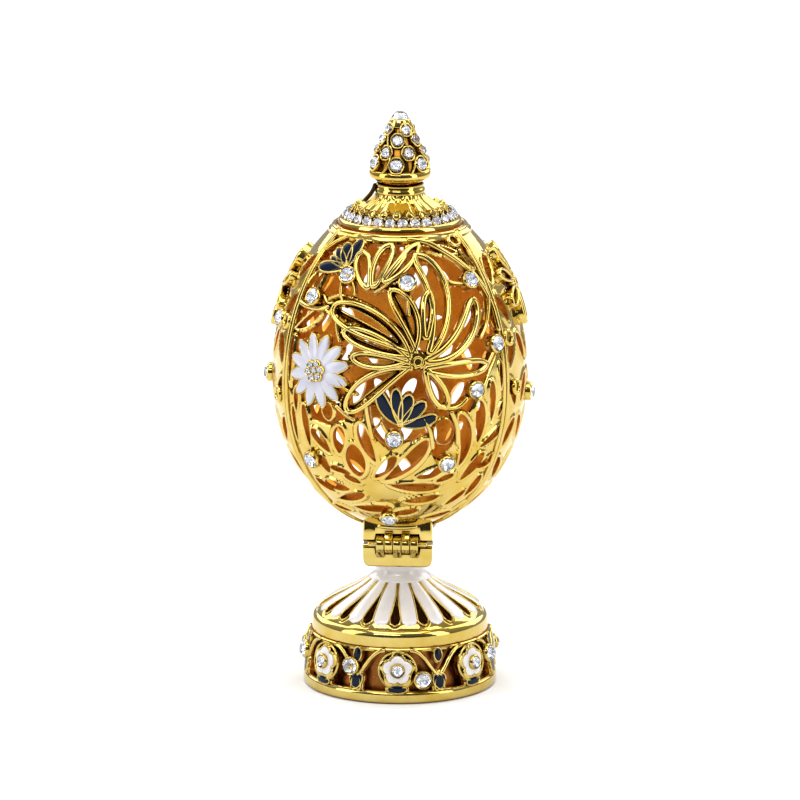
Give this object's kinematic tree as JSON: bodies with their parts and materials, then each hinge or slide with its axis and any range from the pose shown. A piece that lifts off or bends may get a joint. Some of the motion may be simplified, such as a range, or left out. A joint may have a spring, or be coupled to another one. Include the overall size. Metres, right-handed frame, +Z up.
{
  "type": "jewelled egg trinket box",
  "caption": "Openwork gilt egg box with a hinged front door, enamel flowers and set crystals, on a flared enamelled stand with a pierced drum.",
  "frame": {"origin": "centre of the stand's underside, on the table", "axes": "+Z up along the egg's axis, -Y is the front with the hinge, +X to the viewer's right"},
  "size_m": [0.0519, 0.0516, 0.1106],
  "materials": {
    "gold_plate": "polished gilt zinc casting, mirror gloss",
    "white_enamel": "cold enamel on a gilt casting, high gloss",
    "clear_crystal": "foil-backed cut crystal",
    "navy_enamel": "cold enamel in the leaves, high gloss"
  },
  "bodies": {
    "stand_and_shell": {"collar": "gold_plate", "drum_stone_01": "clear_crystal", "drum_stone_02": "clear_crystal", "drum_stone_03": "clear_crystal", "drum_stone_04": "clear_crystal", "drum_stone_05": "clear_crystal", "drum_stone_06": "clear_crystal", "drum_stone_07": "clear_crystal", "egg_back_shell": "gold_plate", "finial": "gold_plate", "finial_stone": "clear_crystal", "hinge_pin": "gold_plate", "shell_stone_01": "clear_crystal", "shell_stone_02": "clear_crystal", "shell_stone_03": "clear_crystal", "shell_stone_04": "clear_crystal", "shell_stone_05": "clear_crystal", "shell_stone_06": "clear_crystal", "stand": "white_enamel"},
    "door": {"door_stone_01": "clear_crystal", "door_stone_02": "clear_crystal", "door_stone_03": "clear_crystal", "door_stone_04": "clear_crystal", "door_stone_05": "clear_crystal", "door_stone_06": "clear_crystal", "door_stone_07": "clear_crystal", "door_stone_08": "clear_crystal", "door_stone_09": "clear_crystal", "door_stone_10": "clear_crystal", "egg_front_door": "gold_plate"}
  },
  "joints": [
    {"name": "door_hinge", "type": "hinge", "parent": "stand_and_shell", "child": "door", "pos_m": [0, -0.007, 0.0284], "axis": [1, 0, 0], "range_deg": [0, 90]}
  ]
}
